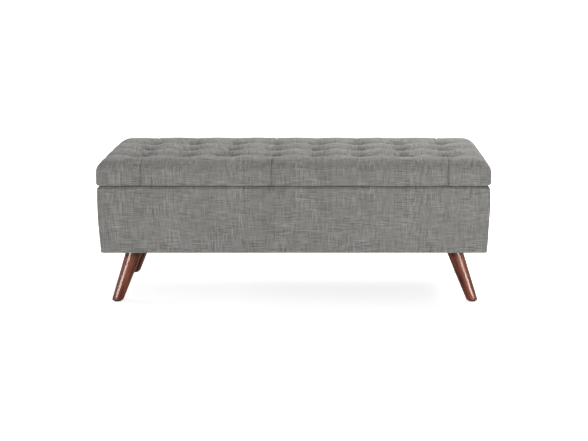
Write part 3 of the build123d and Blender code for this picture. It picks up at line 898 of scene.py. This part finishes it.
def lapped_sheet(node, hem, sag, gaps):
    """A sheet under a board whose edge laps over the hem of the cover; gaps are left open."""
    low, high = box_of(node)
    lines = []
    for way in (0, 1):
        marks = {low[way], high[way]}
        for gap in gaps:
            marks |= {float(np.clip(end, low[way], high[way])) for end in gap[way]}
        lines.append(through(sorted(marks), sheet_step))

    def kept(x, y):
        return not any(gap[0][0] < x < gap[0][1] and gap[1][0] < y < gap[1][1] for gap in gaps)

    points, faces = tub(lines, [low[2]], kept)
    inside = np.min(high[:2] - np.abs(points[:, :2]), axis=1)
    points[:, 2] += fabric * smooth(inside, hem * 0.7, hem * 1.3)
    x, y = points[:, 0], points[:, 1]
    slack = smooth(inside, 0.02, 0.10) * (1 - smooth(np.abs(x), 0.38, 0.44))
    wave = np.sin(x * 23 + 3 * np.sin(y * 19)) * np.sin(y * 31 + 2 * np.sin(x * 11))
    points[:, 2] -= sag * slack * (1 + wave)
    return points, [face[::-1] for face in faces], tuple(high[:2] - low[:2])


hinge_gaps = []
for leaf_low, leaf_high in hinge_leaves:
    gap_x = (leaf_low[0] - leaf_gap, leaf_high[0] + leaf_gap)
    hinge_gaps.append((gap_x, (leaf_low[1] - leaf_gap, leaf_high[1])))
lid_points, lid_faces, lid_flat = lapped_sheet("lid_lining", lid_hem, 0.0, hinge_gaps)
cloth_sheet(
    "lid_lining_cloth", lid_points, lid_faces, lining_cloth, sheet_thickness, "lid_lining", "lid")
dust_points, dust_faces, dust_flat = lapped_sheet("dust_cover", dust_hem, dust_sag, [])
cloth_sheet(
    "dust_cloth", dust_points, dust_faces, dust_cloth, sheet_thickness, "dust_cover", "base")

# Legs
leg_corners = [front + "_" + side for front in ("front", "back") for side in ("left", "right")]
leg_lean = math.radians(20.3)
leg_foot_radius = 0.0165
leg_top_radius = 0.0247
leg_foot_trims = [(0.0, -0.0022), (0.0006, -0.0010), (0.0022, 0.0)]
leg_first_ring = 0.006
leg_rings = 14
leg_segments = 56
grain_shift = 0.3


def leg_piece(corner):
    """A turned leg that leans outwards, cut level at both ends, with a softened foot."""
    node = "leg_" + corner
    low, high = box_of(node)
    side = 1 if corner.endswith("right") else -1
    slope = math.tan(leg_lean)
    foot_out = high[0] if side > 0 else -low[0]
    foot_x = side * (foot_out - leg_foot_radius / math.cos(leg_lean))
    foot = Vector((foot_x, (low[1] + high[1]) / 2, low[2]))
    axis = Vector((-side * slope, 0, 1)).normalized()
    rest = Matrix.Translation(foot) @ axis.to_track_quat("Z", "X").to_matrix().to_4x4()
    inward = rest.inverted()
    rise = high[2] - low[2]
    steps = leg_foot_trims + [(height, 0.0) for height in np.linspace(leg_first_ring, rise, leg_rings)]
    points = []
    for height, trim in steps:
        radius = leg_foot_radius + (leg_top_radius - leg_foot_radius) * height / rise + trim
        middle = foot + axis * (height / axis.z)
        for angle in np.linspace(0, 2 * math.pi, leg_segments, endpoint=False):
            local = Vector((math.cos(angle), math.sin(angle), 0)) * radius
            ray = rest.to_3x3() @ local
            points.append(middle + ray - axis * (ray.z / axis.z))
    faces = ring_faces(len(steps), leg_segments)
    piece = mesh_piece("turned_" + node, points, faces, None, leg_wood)
    grain = piece.data.attributes.new("grain", "FLOAT_VECTOR", "POINT")
    shift = Vector((grain_shift * leg_corners.index(corner), 0, 0))
    grain.data.foreach_set("vector", [value for spot in points for value in inward @ spot + shift])
    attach(piece, "base")
    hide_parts(node)
    return piece


legs = [leg_piece(corner) for corner in leg_corners]

# Finishes of the solid model's own nodes
finishes = {
    "panel": plywood, "lid_board": plywood, "corner_block": softwood, "padding": foam, "seat_foam": foam,
    "box_lining": lining_cloth, "lid_lining": lining_cloth, "dust_cover": dust_cloth, "foot_glide": nylon,
    "rim_bumpers": rubber, "tuft_ties": twine, "leg_plate_": black_steel,
    "hinge_": zinc, "stay_": zinc, "leg_bolts": zinc, "leg_plate_screws": zinc,
}
for name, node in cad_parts.items():
    for key, material in finishes.items():
        if key in name:
            if not node.material_slots:
                node.data.materials.append(material)
            for place in node.material_slots:
                place.link = "OBJECT"
                place.material = material

# Floor
floor_half = 40
floor_pale = (0.85, 0.85, 0.85, 1)
floor_lift = 0.75
floor_corners = [(x * floor_half, y * floor_half, 0) for x, y in ((-1, -1), (1, -1), (1, 1), (-1, 1))]
floor_mesh = bpy.data.meshes.new("floor")
floor_mesh.from_pydata(floor_corners, [], [(0, 1, 2, 3)])
floor = bpy.data.objects.new("floor", floor_mesh)
scene.collection.objects.link(floor)
floor_paint = Paint("pale_floor", Base_Color=floor_pale, Roughness=0.9, Specular_IOR_Level=0.0)
floor_mesh.materials.append(floor_paint.material)


def seen_rays(tree):
    """1 for rays that show a surface: from the camera, or by way of gloss or glass."""
    path = tree.nodes.new("ShaderNodeLightPath")
    seen = path.outputs["Is Camera Ray"]
    for kind in ("Is Glossy Ray", "Is Transmission Ray"):
        either = tree.nodes.new("ShaderNodeMath")
        either.operation = "MAXIMUM"
        tree.links.new(seen, either.inputs[0])
        tree.links.new(path.outputs[kind], either.inputs[1])
        seen = either.outputs[0]
    return seen


floor_glow = floor_paint.node("Math", {0: seen_rays(floor_paint.tree), 1: floor_lift}, operation="MULTIPLY")
floor_paint.shader.inputs["Emission Color"].default_value = (1, 1, 1, 1)
floor_paint.give(floor_paint.shader.inputs["Emission Strength"], floor_glow.outputs[0])

# Light
sky_strength = 0.33
world = bpy.data.worlds.new("studio")
world.use_nodes = True
scene.world = world
sky = world.node_tree
sky_light = sky.nodes["Background"]
sky_light.inputs["Color"].default_value = (1, 1, 1, 1)
sky_light.inputs["Strength"].default_value = sky_strength
sky_shown = sky.nodes.new("ShaderNodeBackground")
sky_shown.inputs["Color"].default_value = (1, 1, 1, 1)
sky_shown.inputs["Strength"].default_value = 1.0
choose = sky.nodes.new("ShaderNodeMixShader")
sky.links.new(seen_rays(sky), choose.inputs[0])
sky.links.new(sky_light.outputs[0], choose.inputs[1])
sky.links.new(sky_shown.outputs[0], choose.inputs[2])
sky.links.new(choose.outputs[0], sky.nodes["World Output"].inputs["Surface"])


def softbox(name, place, aim, size, power, diffuse=True, glossy=True, along=(0, 0, 1)):
    """A soft rectangular lamp that faces a point, its second side along a direction."""
    lamp = bpy.data.lights.new(name, "AREA")
    lamp.shape = "RECTANGLE"
    lamp.size, lamp.size_y = size
    lamp.energy = power
    holder = bpy.data.objects.new(name, lamp)
    holder.location = place
    back = (Vector(place) - Vector(aim)).normalized()
    up = (Vector(along) - back * back.dot(along)).normalized()
    holder.rotation_euler = Matrix((up.cross(back), up, back)).transposed().to_euler()
    holder.visible_camera = False
    holder.visible_diffuse = diffuse
    holder.visible_glossy = glossy
    scene.collection.objects.link(holder)
    return holder


only_legs = bpy.data.collections.new("only_legs")
all_but_legs = bpy.data.collections.new("all_but_legs")
for leg in legs:
    only_legs.objects.link(leg)
    all_but_legs.objects.link(leg)
for member in all_but_legs.collection_objects:
    member.light_linking.link_state = "EXCLUDE"

softbox("overhead", (1.3, 1.5, 2.4), (0, 0, 0.4), (2.6, 1.6), 118, glossy=False)
front_fill = softbox("front_fill", (0.2, -4.2, 0.5), (0, 0, 0.3), (3.5, 0.8), 95, glossy=False)
left_fill = softbox("left_fill", (-4.2, 0.9, 1.2), (0, 0, 0.3), (1.6, 1.0), 45, glossy=False)
leg_fill = softbox("leg_fill", (0, -2.6, 1.9), (0, 0, 0.1), (0.5, 0.4), 72, glossy=False)
front_fill.light_linking.receiver_collection = all_but_legs
left_fill.light_linking.receiver_collection = all_but_legs
leg_fill.light_linking.receiver_collection = only_legs

# Thin strips beside the front legs, mirrored in their lacquer
glint_top = (0.556, -0.247, 0.160)
glint_foot = (0.613, -0.239, 0.002)
glint_aim = (0.532, -0.184, 0.086)
glint_width = 0.046
glint_power = 1.9
for way in (-1, 1):
    top, foot, aim = (Vector((way * x, y, z)) for x, y, z in (glint_top, glint_foot, glint_aim))
    size = (glint_width, (top - foot).length)
    strip = softbox("leg_glint", (top + foot) / 2, aim, size, glint_power, diffuse=False, along=top - foot)
    strip.light_linking.receiver_collection = only_legs

# Camera
camera_dip = 13.68
camera = bpy.data.objects.new("camera", bpy.data.cameras.new("camera"))
camera.location = (0.109, -3.577, 1.089)
camera.rotation_euler = (math.radians(90 - camera_dip), 0, 0)
camera.data.sensor_width = 36
camera.data.lens = 69.7
camera.data.shift_x = -0.0605
camera.data.clip_end = 200
scene.collection.objects.link(camera)
scene.camera = camera
